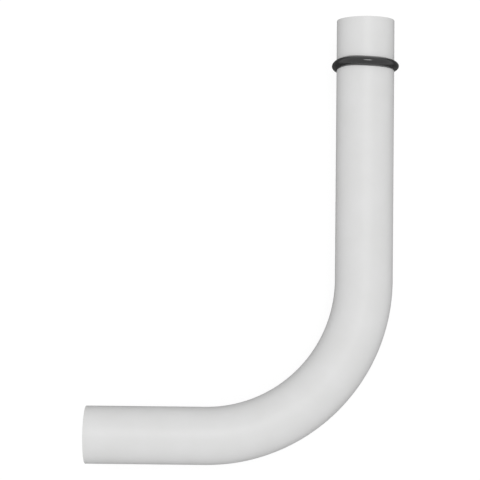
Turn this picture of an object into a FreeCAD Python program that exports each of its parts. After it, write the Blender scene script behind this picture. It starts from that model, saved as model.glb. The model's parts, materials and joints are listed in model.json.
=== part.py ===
"""Flush pipe of a toilet cistern: a plastic pipe bent through a right angle, with a rubber sealing ring.

The pipe lies on its side, as it rests on a bench. The bend is level, the cistern leg runs
along +Y and the pan leg along -X. Lengths are in millimetres, +Z is up, and the origin lies
under the middle of the part's bounding box.
"""
import FreeCAD
import Part
import os

# Driving dimensions of the pipe
pipe_diameter = 45.0
pipe_wall = 2.5
bend_radius = 122.5
bend_angle = 90.0
cistern_leg_length = 203.5
pan_leg_length = 93.5
outer_edge_chamfer = 0.5
inner_edge_chamfer = 0.5

# Driving dimensions of the sealing ring and its groove
ring_width = 7.4
ring_proud = 3.7
ring_below_end = 36.0
groove_depth = 1.0
groove_side_clearance = 0.1

# Radii about the pipe's own centre line
pipe_radius = pipe_diameter / 2
bore_radius = pipe_radius - pipe_wall
seat_radius = pipe_radius - groove_depth
crown_radius = pipe_radius + ring_proud

# The corner where the centre lines of the two legs would cross, placed so that
# the whole part stands on the ground plane with its middle over the origin
reach_to_pan = bend_radius + pan_leg_length
reach_to_cistern = bend_radius + cistern_leg_length
corner = FreeCAD.Vector(
    (reach_to_pan - crown_radius) / 2,
    (pipe_radius - reach_to_cistern) / 2,
    crown_radius,
)

up = FreeCAD.Vector(0, 0, 1)
to_cistern = FreeCAD.Vector(0, 1, 0)
to_pan = FreeCAD.Vector(-1, 0, 0)


class Leg:
    """A straight leg of the pipe, which starts where the bend ends.

    A point is given as a distance along the leg's centre line and a radius from it.
    """

    def __init__(self, direction, length):
        self.direction = direction
        self.length = length
        self.start = corner + direction * bend_radius

    def point(self, along, radius):
        return self.start + self.direction * along + up * radius

    def polyline(self, stations):
        return Part.makePolygon([self.point(along, radius) for along, radius in stations])

    def revolve(self, outline):
        """Turn a closed outline about the leg's centre line into a solid."""
        return Part.Face(outline).revolve(self.start, self.direction, 360)


def make_spigot(leg):
    """A straight length of pipe, its free end cut square and eased inside and outside."""
    end = leg.length
    inner_start = (0, bore_radius)
    return leg.revolve(leg.polyline([
        inner_start,
        (0, pipe_radius),
        (end - outer_edge_chamfer, pipe_radius),
        (end, pipe_radius - outer_edge_chamfer),
        (end, bore_radius + inner_edge_chamfer),
        (end - inner_edge_chamfer, bore_radius),
        inner_start,
    ]))


def make_bend():
    """The bent length of pipe, from the start of the cistern leg to the start of the pan leg."""
    start = corner + to_cistern * bend_radius
    centre = start + to_pan * bend_radius

    def bent_rod(radius):
        section = Part.Face(Part.Wire(Part.makeCircle(radius, start, to_cistern)))
        return section.revolve(centre, up, -bend_angle)

    return bent_rod(pipe_radius).cut(bent_rod(bore_radius))


def make_groove(leg, middle):
    """The band that is cut from the pipe's wall to seat the sealing ring."""
    half_width = ring_width / 2 + groove_side_clearance
    first_corner = (middle - half_width, seat_radius)
    return leg.revolve(leg.polyline([
        first_corner,
        (middle - half_width, crown_radius),
        (middle + half_width, crown_radius),
        (middle + half_width, seat_radius),
        first_corner,
    ]))


def make_sealing_ring(leg, middle):
    """A ring with a flat back on the groove's floor, and a rounded crown that stands out of the pipe."""
    low = middle - ring_width / 2
    high = middle + ring_width / 2
    crown = Part.Arc(
        leg.point(low, pipe_radius),
        leg.point(middle, crown_radius),
        leg.point(high, pipe_radius),
    )
    back = leg.polyline([
        (high, pipe_radius),
        (high, seat_radius),
        (low, seat_radius),
        (low, pipe_radius),
    ])
    return leg.revolve(Part.Wire([crown.toShape()] + back.Edges))


cistern_leg = Leg(to_cistern, cistern_leg_length)
pan_leg = Leg(to_pan, pan_leg_length)
ring_middle = cistern_leg_length - ring_below_end

bare_pipe = make_bend().fuse([make_spigot(cistern_leg), make_spigot(pan_leg)]).removeSplitter()
flush_pipe = bare_pipe.cut(make_groove(cistern_leg, ring_middle))
sealing_ring = make_sealing_ring(cistern_leg, ring_middle)

os.makedirs("parts", exist_ok=True)
for name, shape in (("flush_pipe", flush_pipe), ("sealing_ring", sealing_ring)):
    shape.Solids[0].exportStep(f"parts/{name}.step")
    print(name, "volume", round(shape.Volume), "mm3", shape.BoundBox)
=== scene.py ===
# %% [markdown]
# # A flush pipe, from a line and a circle
#
# A flush pipe carries water from a toilet's cistern down to the pan. It is one length of satin
# plastic pipe with a right-angle bend, and a black rubber ring near its top end seals it in the
# cistern's outlet. Two pieces, then: the pipe and the ring.
#
# The construction is already settled at its real size, and it loads first as a fixed frame. This
# lesson gives both pieces a smooth skin and a finish, and then lights and photographs them.

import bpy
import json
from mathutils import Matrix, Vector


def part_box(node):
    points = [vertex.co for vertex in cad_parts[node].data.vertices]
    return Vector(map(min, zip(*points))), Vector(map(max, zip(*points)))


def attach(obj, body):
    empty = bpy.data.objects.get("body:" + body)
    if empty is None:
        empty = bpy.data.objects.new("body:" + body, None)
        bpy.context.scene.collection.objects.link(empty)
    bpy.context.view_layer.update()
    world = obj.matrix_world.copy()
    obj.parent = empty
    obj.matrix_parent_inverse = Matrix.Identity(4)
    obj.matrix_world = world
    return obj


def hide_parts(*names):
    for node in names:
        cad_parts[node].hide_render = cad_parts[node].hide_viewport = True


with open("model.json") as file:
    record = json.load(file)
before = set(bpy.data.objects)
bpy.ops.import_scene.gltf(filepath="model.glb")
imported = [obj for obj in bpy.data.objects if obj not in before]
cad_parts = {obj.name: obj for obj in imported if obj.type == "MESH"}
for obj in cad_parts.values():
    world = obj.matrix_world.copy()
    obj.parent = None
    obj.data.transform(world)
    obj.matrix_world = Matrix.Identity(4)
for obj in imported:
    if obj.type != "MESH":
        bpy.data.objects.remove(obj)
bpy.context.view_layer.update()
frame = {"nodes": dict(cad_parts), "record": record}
print("frame nodes:", sorted(frame["nodes"]))

# %% [markdown]
# ## Sizes from the frame
#
# Nothing here is typed twice if the frame can tell it. The record's two mounts are the pipe's
# straight ends, so they give its radius and the corner where the centre lines of the two legs
# would cross. The length of the pan mount also says where the bend begins.

# %% Read the pipe's main sizes
import json
import math

import bpy
import numpy as np

MM = 0.001

mounts = {mount["name"]: mount for mount in frame["record"]["mounts"]}
pan_mount = mounts["pan_spigot"]
cistern_mount = mounts["cistern_spigot"]
pipe_low, pipe_high = (np.array(end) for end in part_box("flush_pipe"))
ring_low, ring_high = (np.array(end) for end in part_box("sealing_ring"))

pipe_radius = pan_mount["dims"]["r_mm"] * MM
corner = np.array([cistern_mount["pos_m"][0], pan_mount["pos_m"][1], pan_mount["pos_m"][2]])
bend_start = pan_mount["pos_m"][0] + pan_mount["dims"]["length_mm"] * MM / 2
bend_radius = corner[0] - bend_start

pan_leg = bend_start - pipe_low[0]
bend_run = bend_radius * math.pi / 2
cistern_leg = pipe_high[1] - corner[1] - bend_radius
pipe_length = pan_leg + bend_run + cistern_leg
print(f"pipe radius {pipe_radius / MM:.1f} mm, bend radius {bend_radius / MM:.1f} mm")
print(f"pan leg {pan_leg / MM:.1f} mm, bend {bend_run / MM:.1f} mm")
print(f"cistern leg {cistern_leg / MM:.1f} mm, whole pipe {pipe_length / MM:.1f} mm")

# %% [markdown]
# ## The centre line
#
# The real pipe starts as a straight tube and is bent warm round a former, so every point on it
# still knows how far along the tube it lies. A curve object with a bevel could draw such a tube,
# but it can't give the wall a thickness, a groove and rounded ends. So the centre line becomes a
# function of the distance along it, and the wall is carried along that line afterwards.

# %% The centre line as a function
UP = np.array([0.0, 0.0, 1.0])


def centre_line(along):
    """Points on the centre line, and the level direction to the inside of the bend.

    Formula: the angle turned so far is the distance into the bend divided by the bend radius,
    held between none and a quarter turn. A quarter circle gives the point for that angle, and
    the straight runs before and after it are added along X and Y.
    """
    into_bend = along - pan_leg
    turned = np.clip(into_bend / bend_radius, 0.0, math.pi / 2)
    before = np.minimum(into_bend, 0.0)
    after = np.maximum(into_bend - bend_run, 0.0)
    x = corner[0] + bend_radius * (np.sin(turned) - 1) + before
    y = corner[1] + bend_radius * (1 - np.cos(turned)) + after
    points = np.stack([x, y, np.full_like(x, corner[2])], axis=-1)
    inward = np.stack([-np.sin(turned), np.cos(turned), np.zeros_like(x)], axis=-1)
    return points, inward


ends, _ = centre_line(np.array([0.0, pipe_length]))
print("centre line runs from", ends[0].round(4), "to", ends[1].round(4))

# %% [markdown]
# ## A skin over a grid of points
#
# Both pieces are rings swept round: going along the outline comes back to its start, and so does
# going round the pipe. A grid of points that wraps in both directions is therefore a closed skin
# with no seam and no pole. The helper below turns such a grid into a mesh with whole-array
# indexing, and unrolls it into a flat map for textures, with one column for each half of the
# outline so that the map isn't stretched.

# %% The skin helper
CREASE_ANGLE = math.radians(40)
MAP_MARGIN = 0.02
COLUMN_STEP = 0.5
COLUMN_WIDTH = COLUMN_STEP - 2 * MAP_MARGIN
COLUMN_HEIGHT = 1 - 2 * MAP_MARGIN


def flat_map(outline_length, rows, columns):
    """Corner places in the flat map: half the outline fills the left column, half the right.

    Formula: across is the share of a full turn, halved and moved to its column. Up is the length
    run so far in that half of the outline, divided by the longer half.
    """
    half = rows // 2
    side = (np.arange(rows) >= half).astype(float)
    before = np.cumsum(outline_length) - outline_length
    low = before - np.where(side > 0, before[half], 0.0)
    high = low + outline_length
    across = np.arange(columns + 1) / columns
    left, right = (MAP_MARGIN + COLUMN_WIDTH * share for share in (across[:-1], across[1:]))
    u = np.stack(np.broadcast_arrays(left, right, right, left), axis=-1)
    u = u + COLUMN_STEP * side[:, None, None]
    v = np.stack([low, low, high, high], axis=-1) / high.max()
    v = np.broadcast_to(MAP_MARGIN + COLUMN_HEIGHT * v[:, None, :], u.shape)
    return np.stack([u, v], axis=-1).astype(np.float32)


def skin(name, grid):
    """A closed mesh over a grid of points that wraps in both directions."""
    rows, columns = grid.shape[:2]
    here = np.arange(rows * columns).reshape(rows, columns)
    beside = np.roll(here, -1, axis=1)
    onward = np.roll(here, -1, axis=0)
    across = np.roll(onward, -1, axis=1)
    quads = np.stack([here, beside, across, onward], axis=-1).reshape(-1, 4)

    mesh = bpy.data.meshes.new(name)
    mesh.from_pydata(grid.reshape(-1, 3), [], quads)
    steps = np.linalg.norm(np.roll(grid, -1, axis=0) - grid, axis=-1).mean(axis=1)
    places = flat_map(steps, rows, columns)
    mesh.uv_layers.new(name="OFBake").uv.foreach_set("vector", places.ravel())
    mesh.polygons.foreach_set("use_smooth", np.ones(len(quads), dtype=bool))
    mesh.set_sharp_from_angle(angle=CREASE_ANGLE)
    mesh.validate()

    piece = bpy.data.objects.new(name, mesh)
    bpy.context.collection.objects.link(piece)
    print(f"{name}: {len(quads)} quads")
    return piece


def mark(piece, name, kind, values):
    """Store one value for each point of a piece, for its material to read."""
    field = "vector" if kind == "FLOAT_VECTOR" else "value"
    made = piece.data.attributes.new(name, kind, "POINT")
    made.data.foreach_set(field, np.ascontiguousarray(values, dtype=np.float32).ravel())


# %% [markdown]
# ## The outline of the wall
#
# Cut the straight tube lengthwise and look at one edge of the cut: that outline is all there is to
# the pipe. It runs along the outside, dips into the ring's groove, turns over the end, comes back
# along the bore and turns over the other end. Sawn plastic ends are eased by hand or by a tool, so
# the edges get small rounds, which catch the light where a sharp corner would look drawn.

# %% Draw the outline as distances along and radii
pipe_wall = 2.5 * MM
groove_depth = 1.0 * MM
groove_clearance = 0.1 * MM
outer_round = 0.5 * MM
inner_round = 0.5 * MM
leg_step = 4.0 * MM
bend_step = 2.2 * MM

bend_end = pan_leg + bend_run
bore_radius = pipe_radius - pipe_wall
seat_radius = pipe_radius - groove_depth
ring_middle = (ring_low[1] + ring_high[1]) / 2 - corner[1] - bend_radius + bend_end
ring_width = ring_high[1] - ring_low[1]
groove_half = ring_width / 2 + groove_clearance


def even_stations(start, stop, step):
    """Even stations from start to stop, both included."""
    return np.linspace(start, stop, max(2, int(abs(stop - start) / step) + 2))


def along_wall(stations, radius):
    """A stretch of the outline at one radius."""
    return np.stack([stations, np.full_like(stations, radius)], axis=-1)


def eased_edge(along, radius, size, first, last, steps=7):
    """A round over an edge.

    Formula: the centre, plus the size times (cosine, sine) of the angles from first to last degrees.
    """
    turn = np.radians(np.linspace(first, last, steps))
    return np.stack([along + size * np.cos(turn), radius + size * np.sin(turn)], axis=-1)


outer_stations = np.concatenate([
    even_stations(outer_round, pan_leg, leg_step)[1:],
    even_stations(pan_leg, bend_end, bend_step)[1:],
    even_stations(bend_end, ring_middle - groove_half, leg_step)[1:],
])
spigot_stations = even_stations(ring_middle + groove_half, pipe_length - outer_round, leg_step)[:-1]
groove_stations = even_stations(ring_middle - groove_half, ring_middle + groove_half, leg_step)
bore_stations = np.concatenate([
    even_stations(pipe_length - inner_round, bend_end, leg_step)[1:],
    even_stations(bend_end, pan_leg, bend_step)[1:],
    even_stations(pan_leg, inner_round, leg_step)[1:-1],
])

outline = np.concatenate([
    eased_edge(outer_round, pipe_radius - outer_round, outer_round, 180, 90),
    along_wall(outer_stations, pipe_radius),
    along_wall(groove_stations, seat_radius),
    along_wall(spigot_stations, pipe_radius),
    eased_edge(pipe_length - outer_round, pipe_radius - outer_round, outer_round, 90, 0),
    eased_edge(pipe_length - inner_round, bore_radius + inner_round, inner_round, 0, -90),
    along_wall(bore_stations, bore_radius),
    eased_edge(inner_round, bore_radius + inner_round, inner_round, 270, 180),
])
print("outline points:", len(outline))

# %% [markdown]
# ## The pipe
#
# Each point of the outline now goes all the way round the centre line. The pipe keeps two notes
# for its material: where each point lay on the tube while it was still straight, so that marks
# from the extruder can run lengthwise through the bend, and which points belong to the sawn ends.
#
# A rubber ring pushed on by hand never sits quite square. This one leans by three degrees, higher
# on the side that faces up, and it is twisted and bowed a little. Its groove has to go along, or the
# two would cut into each other, so the points near the groove slip along the pipe just as far.

# %% Sweep the outline round and along
around_pipe = 128
lean_above = 1.24 * MM
lean_twist = 0.55 * MM
lean_bow = 0.36 * MM
lean_fade = 20.0 * MM
sawn_reach = 0.4 * MM


def sweep(outline, turns, slip):
    """Carry an outline round the centre line.

    Formula: the centre-line point at the outline's distance plus the slip, plus the radius times
    (cosine of the turn towards the inside of the bend + sine of the turn upwards).
    """
    points, inward = centre_line(outline[:, 0, None] + slip)
    spoke = np.cos(turns)[:, None] * inward + np.sin(turns)[:, None] * UP
    return points + outline[:, 1, None, None] * spoke


def lean(turns):
    """How far the ring slips along the pipe at each turn round it.

    Formula: a sine of the turn leans it, a sine of twice the turn twists it, and the square of
    that second sine bows it between its sides and its top.
    """
    twice = np.sin(2 * turns)
    return lean_above * np.sin(turns) + lean_twist * twice + lean_bow * twice**2


pipe_turns = np.arange(around_pipe) * 2 * math.pi / around_pipe
along = outline[:, 0, None]
radius = outline[:, 1, None]
near_ring = np.clip(1 - (np.abs(along - ring_middle) - groove_half) / lean_fade, 0, 1)
pipe = skin("pipe_skin", sweep(outline, pipe_turns, near_ring * lean(pipe_turns)))

on_tube = (radius * np.cos(pipe_turns), radius * np.sin(pipe_turns), along)
straight = np.stack(np.broadcast_arrays(*on_tube), axis=-1)
mark(pipe, "straight", "FLOAT_VECTOR", straight)

from_end = np.minimum(along, pipe_length - along)
sawn = np.broadcast_to(np.clip(1 - from_end / sawn_reach, 0, 1), straight.shape[:2])
mark(pipe, "sawn", "FLOAT", sawn)

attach(pipe, "root")
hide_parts("flush_pipe")

# %% [markdown]
# ## The sealing ring
#
# The ring is moulded rubber with a flat back and a round crown. It sits in the pipe's groove and
# stands proud all round, so that the cistern's outlet squeezes it. A torus primitive would be too
# round at the back. Here its section is drawn once, with softened corners at the back, and then
# carried round the same centre line.

# %% Draw the ring's section and carry it round
around_ring = 160
crown_radius = (ring_high[2] - ring_low[2]) / 2
crown_steps = 41
crown_power = 1.4
back_round = 0.35 * MM


def crown(steps):
    """The rounded outside of the ring, from its pan side to its cistern side.

    Formula: across by the cosine of a half turn, and up by a power of its sine. A power of one
    makes half an ellipse, and a larger one makes the crown slimmer towards its top.
    """
    turn = np.linspace(math.pi, 0, steps)
    along = ring_middle + ring_width / 2 * np.cos(turn)
    height = (crown_radius - pipe_radius) * np.abs(np.sin(turn)) ** crown_power
    return np.stack([along, pipe_radius + height], axis=-1)


ring_start = ring_middle - ring_width / 2
ring_end = ring_middle + ring_width / 2
ring_section = np.concatenate([
    crown(crown_steps),
    eased_edge(ring_end - back_round, seat_radius + back_round, back_round, 0, -90, steps=4),
    eased_edge(ring_start + back_round, seat_radius + back_round, back_round, 270, 180, steps=4),
])
ring_turns = np.arange(around_ring) * 2 * math.pi / around_ring
ring = skin("ring_skin", sweep(ring_section, ring_turns, lean(ring_turns)))

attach(ring, "root")
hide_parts("sealing_ring")

# %% [markdown]
# ## Building materials from code
#
# A material is a small network of nodes. Adding nodes and linking them by hand takes three lines
# each, so one helper does it: a plain value fills a socket, and another node's output is linked.

# %% The node helper
def add_node(tree, kind, inputs, **settings):
    """Add a node, set its options, and fill or link its inputs."""
    made = tree.nodes.new(kind)
    for option, value in settings.items():
        setattr(made, option, value)
    for name, value in inputs.items():
        if isinstance(value, bpy.types.NodeSocket):
            tree.links.new(value, made.inputs[name])
        else:
            made.inputs[name].default_value = value
    return made


def new_material(name):
    """An empty material, its node tree and its Principled BSDF."""
    material = bpy.data.materials.new(name)
    material.use_nodes = True
    shader = material.node_tree.nodes["Principled BSDF"]
    return material, material.node_tree, shader


def two_tone(tree, value, places, colours):
    """A colour that runs from the first to the second as a value goes from place to place."""
    ramp = add_node(tree, "ShaderNodeValToRGB", {"Fac": value})
    for element, place, colour in zip(ramp.color_ramp.elements, places, colours):
        element.position = place
        element.color = colour
    return ramp.outputs["Color"]


# %% [markdown]
# ## Two effects that both materials share
#
# Plastic and rubber both come out of a machine a little uneven: soft clouds, a centimetre or two
# across, where the surface set faster or slower, and a fine skin that breaks up reflections. Each
# effect is a node group with its own sockets, built once and used in both with different sizes.
# Nearly all of such noise lies in the middle of its range, which the two limits below mark.

# %% The cloud and grain groups
NOISE_LOW = 0.3
NOISE_HIGH = 0.7


def noise_group(name, output, detail, roughness):
    """A group that gives one value from noise of a chosen number of patches per metre."""
    group = bpy.data.node_groups.new(name, "ShaderNodeTree")
    group.interface.new_socket("Place", in_out="INPUT", socket_type="NodeSocketVector")
    group.interface.new_socket("Per metre", in_out="INPUT", socket_type="NodeSocketFloat")
    group.interface.new_socket(output, in_out="OUTPUT", socket_type="NodeSocketFloat")
    given = group.nodes.new("NodeGroupInput")
    noise = add_node(group, "ShaderNodeTexNoise", {
        "Vector": given.outputs["Place"],
        "Scale": given.outputs["Per metre"],
        "Detail": detail,
        "Roughness": roughness,
    })
    result = group.nodes.new("NodeGroupOutput")
    group.links.new(noise.outputs["Fac"], result.inputs[output])
    return group


clouds = noise_group("Soft clouds", "Clouds", detail=3.0, roughness=0.5)
grain = noise_group("Fine skin", "Grain", detail=2.0, roughness=0.6)
print("node groups:", [group.name for group in (clouds, grain)])


def use_group(tree, group, place, per_metre):
    """Place a shared effect in a material and return its value."""
    made = add_node(tree, "ShaderNodeGroup", {}, node_tree=group)
    tree.links.new(place, made.inputs["Place"])
    made.inputs["Per metre"].default_value = per_metre
    return made.outputs[0]


# %% [markdown]
# ## Satin plastic
#
# The pipe is light grey and neither chalky nor glossy. What gives it away as extruded plastic is
# small: faint clouds in the grey, and hair-fine lines drawn lengthwise by the die. The lines read
# the straight tube's coordinates, so they follow the bend. The sawn ends are rougher and paler.

# %% The pipe's colour and roughness
darker_grey = (0.566, 0.566, 0.563, 1)
paler_grey = (0.586, 0.586, 0.586, 1)
sawn_grey = (0.68, 0.68, 0.67, 1)
smoothest = 0.36
dullest = 0.44
sawn_roughness = 0.8
die_stretch = (1.0, 1.0, 0.006)

plastic, tree, shader = new_material("satin_plastic")
tube_place = add_node(tree, "ShaderNodeAttribute", {}, attribute_name="straight").outputs["Vector"]
sawn_mask = add_node(tree, "ShaderNodeAttribute", {}, attribute_name="sawn").outputs["Fac"]

pipe_clouds = use_group(tree, clouds, tube_place, per_metre=45.0)
drawn = add_node(tree, "ShaderNodeMapping", {"Vector": tube_place, "Scale": die_stretch})
die_lines = use_group(tree, grain, drawn.outputs["Vector"], per_metre=1100.0)

grey = two_tone(tree, pipe_clouds, (NOISE_LOW, NOISE_HIGH), (darker_grey, paler_grey))
colour = add_node(tree, "ShaderNodeMix", {
    "Factor": sawn_mask, "A": grey, "B": sawn_grey,
}, data_type="RGBA")
tree.links.new(colour.outputs["Result"], shader.inputs["Base Color"])

satin = add_node(tree, "ShaderNodeMapRange", {
    "Value": die_lines, "From Min": NOISE_LOW, "From Max": NOISE_HIGH,
    "To Min": smoothest, "To Max": dullest,
})
dull = add_node(tree, "ShaderNodeMix", {
    "Factor": sawn_mask, "A": satin.outputs["Result"], "B": sawn_roughness,
}, data_type="FLOAT")
tree.links.new(dull.outputs["Result"], shader.inputs["Roughness"])
shader.inputs["Specular IOR Level"].default_value = 0.4
pipe.data.materials.append(plastic)
print("pipe:", plastic.name, "with", len(tree.nodes), "nodes so far")

# %% [markdown]
# ## A skin too fine to model
#
# The extruder leaves a fine grain and those long lines, and the saw leaves coarser lines across the
# ends. They are hundredths of a millimetre deep, so they are bump in the material: geometry would
# need millions of faces for something that only breaks up the shine.

# %% The pipe's relief
relief_depth = 0.01 * MM
saw_depth = 6.0
saw_stretch = (0.04, 1.0, 1.0)

pipe_grain = use_group(tree, grain, tube_place, per_metre=1500.0)
skin_relief = add_node(tree, "ShaderNodeMath", {0: pipe_grain, 1: die_lines}, operation="ADD")
across_saw = add_node(tree, "ShaderNodeMapping", {"Vector": tube_place, "Scale": saw_stretch})
saw_lines = use_group(tree, grain, across_saw.outputs["Vector"], per_metre=1600.0)
saw_relief = add_node(tree, "ShaderNodeMath", {0: saw_lines, 1: saw_depth}, operation="MULTIPLY")
relief = add_node(tree, "ShaderNodeMix", {
    "Factor": sawn_mask, "A": skin_relief.outputs[0], "B": saw_relief.outputs[0],
}, data_type="FLOAT")
bump = add_node(tree, "ShaderNodeBump", {
    "Height": relief.outputs["Result"], "Strength": 0.5, "Distance": relief_depth,
})
tree.links.new(bump.outputs["Normal"], shader.inputs["Normal"])
print("pipe:", plastic.name, "with", len(tree.nodes), "nodes in all")

# %% [markdown]
# ## Black rubber
#
# Moulded rubber is never quite black: a waxy bloom greys it in patches, and a faint sheen greys it
# further where it is seen edge on. It looks dull, because there is little for it to mirror, but
# its skin is smooth from the mould, and the lamp above shows in its crown as one short streak.

# %% The ring's material
deep_black = (0.006, 0.006, 0.0062, 1)
bloomed_black = (0.011, 0.011, 0.0115, 1)
bloom_limits = (0.35, 0.75)
ring_smoothest = 0.13
ring_dullest = 0.17

rubber, tree, shader = new_material("black_rubber")
in_object = add_node(tree, "ShaderNodeTexCoord", {}).outputs["Object"]
bloom = use_group(tree, clouds, in_object, per_metre=120.0)
ring_grain = use_group(tree, grain, in_object, per_metre=2600.0)

black = two_tone(tree, bloom, bloom_limits, (deep_black, bloomed_black))
tree.links.new(black, shader.inputs["Base Color"])

dulness = add_node(tree, "ShaderNodeMapRange", {
    "Value": bloom, "From Min": NOISE_LOW, "From Max": NOISE_HIGH,
    "To Min": ring_smoothest, "To Max": ring_dullest,
})
tree.links.new(dulness.outputs["Result"], shader.inputs["Roughness"])
shader.inputs["Specular IOR Level"].default_value = 1.0
shader.inputs["Sheen Weight"].default_value = 0.13
bump = add_node(tree, "ShaderNodeBump", {
    "Height": ring_grain, "Strength": 0.2, "Distance": relief_depth,
})
tree.links.new(bump.outputs["Normal"], shader.inputs["Normal"])
ring.data.materials.append(rubber)
print("ring:", rubber.name, "with", len(tree.nodes), "nodes")

# %% [markdown]
# ## The bench it lies on
#
# A bent pipe can't stand, so it lies on its side. The ring is the widest part, so the pipe rests
# on the ring and on one spot of the bend, and the bench leans against the plane of the bend by
# less than a degree. The spot is where the pipe's middle comes to lie lowest: for each tangent to
# the bend, compare how far the middle and the ring lie from it, and take the smallest share.

# %% Find the resting plane and lay the floor
tangent_count = 500
middle_count = 400

turn = np.linspace(0, math.pi / 2, tangent_count)
bend_points, _ = centre_line(pan_leg + bend_radius * turn)
tangents = np.stack([np.cos(turn), np.sin(turn), np.zeros_like(turn)], axis=-1)
middle = centre_line(np.linspace(0, pipe_length, middle_count))[0].mean(axis=0)
ring_centre = centre_line(np.array([ring_middle]))[0][0]


def off_tangent(point):
    """Level distance of a point from each tangent line of the bend."""
    return np.cross(tangents, point - bend_points)[:, 2]


spot = np.argmin(off_tangent(middle) / off_tangent(ring_centre))
bend_contact = bend_points[spot] - pipe_radius * UP
ring_contact = ring_centre - crown_radius * UP
floor_normal = np.cross(tangents[spot], ring_contact - bend_contact)
floor_normal /= np.linalg.norm(floor_normal)
floor_lean = math.degrees(math.acos(floor_normal[2]))
print(f"rests on the ring and {math.degrees(turn[spot]):.0f} degrees into the bend")
print(f"floor leans {floor_lean:.2f} degrees")

floor_reach = 20.0
square = np.array([[-1, -1], [1, -1], [1, 1], [-1, 1]]) * floor_reach
drop = (ring_contact @ floor_normal - square @ floor_normal[:2]) / floor_normal[2]
floor_mesh = bpy.data.meshes.new("floor")
floor_mesh.from_pydata(np.column_stack([square, drop]), [], [(0, 1, 2, 3)])
floor = bpy.data.objects.new("floor", floor_mesh)
bpy.context.collection.objects.link(floor)

# %% [markdown]
# ## A floor that stays white
#
# The photograph's background is pure white, with no shadow to speak of. The floor lights the pipe
# from below as a pale floor does, but to the camera it mostly glows by itself, with only a little
# of the light and shadow that falls on it, and comes out a touch over white. Much brighter would be
# wrong as well: the glare would eat into the pipe's edges. Reflections don't see the floor. They
# meet the dark that lies under it, like the black cards that are stood beside white things to draw
# their edges.

# %% The floor's material
paleness_to_pipe = 0.48
paleness_to_camera = 0.12
glow_to_camera = 0.89

pale, tree, shader = new_material("pale_floor")
shader.inputs["Roughness"].default_value = 0.9
shader.inputs["Specular IOR Level"].default_value = 0.0
shader.inputs["Emission Color"].default_value = (1, 1, 1, 1)
eye_ray = add_node(tree, "ShaderNodeLightPath", {}).outputs["Is Camera Ray"]
paleness = add_node(tree, "ShaderNodeMapRange", {
    "Value": eye_ray, "To Min": paleness_to_pipe, "To Max": paleness_to_camera,
})
glow = add_node(tree, "ShaderNodeMapRange", {
    "Value": eye_ray, "To Min": 0.0, "To Max": glow_to_camera,
})
tree.links.new(paleness.outputs["Result"], shader.inputs["Base Color"])
tree.links.new(glow.outputs["Result"], shader.inputs["Emission Strength"])
floor.data.materials.append(pale)
floor.visible_glossy = False
print("floor:", pale.name, "with", len(tree.nodes), "nodes")

# %% [markdown]
# ## One wide lamp
#
# The black ring shows one short streak of light on its crown. A wide lamp above the top of the
# picture makes it. A sun lamp with a large angle is the simplest wide lamp: it lights the whole
# floor alike, however far it reaches.

# %% The lamp
lamp_width_degrees = 27
lamp_tilt_degrees = (-14, 5, 0)

overhead = bpy.data.lights.new("overhead", "SUN")
overhead.energy = 0.62
overhead.angle = math.radians(lamp_width_degrees)
lamp = bpy.data.objects.new("overhead", overhead)
lamp.rotation_euler = [math.radians(angle) for angle in lamp_tilt_degrees]
bpy.context.collection.objects.link(lamp)
print(f"lamp: strength {overhead.energy:.2f}, {lamp_width_degrees} degrees wide")

# %% [markdown]
# ## Soft light from all round
#
# The pipe is brightest along its top and darkens evenly towards both edges. An even dome of light
# does most of that. It fades out a little below the horizon, where the floor hides it from all but
# mirrored rays, so only the outermost edges of the pipe mirror the dark. Mirrored, the dome is about
# half as bright, as in a studio whose walls are darker than its lamps, so that the black ring stays
# black.

# %% The dome
dome_light = 1.083
dome_mirrored = 0.475
lit_above = -0.1
dark_below = -0.4
dome_dark = 0.01
sky_seen = 1.0

world = bpy.data.worlds.new("studio")
bpy.context.scene.world = world
world.use_nodes = True
sky = world.node_tree
sky.nodes["Background"].inputs["Color"].default_value = (1, 1, 1, 1)
way = add_node(sky, "ShaderNodeTexCoord", {}).outputs["Generated"]
height = add_node(sky, "ShaderNodeSeparateXYZ", {"Vector": way}).outputs["Z"]
rays = add_node(sky, "ShaderNodeLightPath", {}).outputs
overhead_sky = add_node(sky, "ShaderNodeMapRange", {
    "Value": rays["Is Glossy Ray"], "To Min": dome_light, "To Max": dome_light * dome_mirrored,
})
dome = add_node(sky, "ShaderNodeMapRange", {
    "Value": height, "From Min": dark_below, "From Max": lit_above,
    "To Min": dome_dark, "To Max": overhead_sky.outputs["Result"],
})
strength = add_node(sky, "ShaderNodeMapRange", {
    "Value": rays["Is Camera Ray"], "To Min": dome.outputs["Result"], "To Max": sky_seen,
})
sky.links.new(strength.outputs["Result"], sky.nodes["Background"].inputs["Strength"])
bpy.context.scene.view_settings.view_transform = "Standard"
print(f"dome: {dome_light} bright, {dome_light * dome_mirrored:.2f} where it is mirrored")

# %% [markdown]
# ## The camera
#
# The photograph looks almost straight at the plane of the bend from a little over a metre, so the
# camera hangs above the bench. Its place is given from the corner where the legs' centre lines
# cross, and the lens from its focal length in pixels of a picture 480 pixels wide.

# %% Hang the camera over the pipe
eye_from_corner = np.array([-82.1, 116.4, 1200.0]) * MM
eye_lean_degrees = (1.75, 0.69, 0.57)
focal_pixels = 1535.3
image_pixels = 480

camera = bpy.data.cameras.new("camera")
camera.sensor_width = 36.0
camera.lens = focal_pixels / image_pixels * camera.sensor_width
eye = bpy.data.objects.new("camera", camera)
eye.location = corner + eye_from_corner
eye.rotation_euler = [math.radians(angle) for angle in eye_lean_degrees]
bpy.context.collection.objects.link(eye)
bpy.context.scene.camera = eye
print(f"lens {camera.lens:.1f} mm, {eye.location.z:.3f} m above the bench")
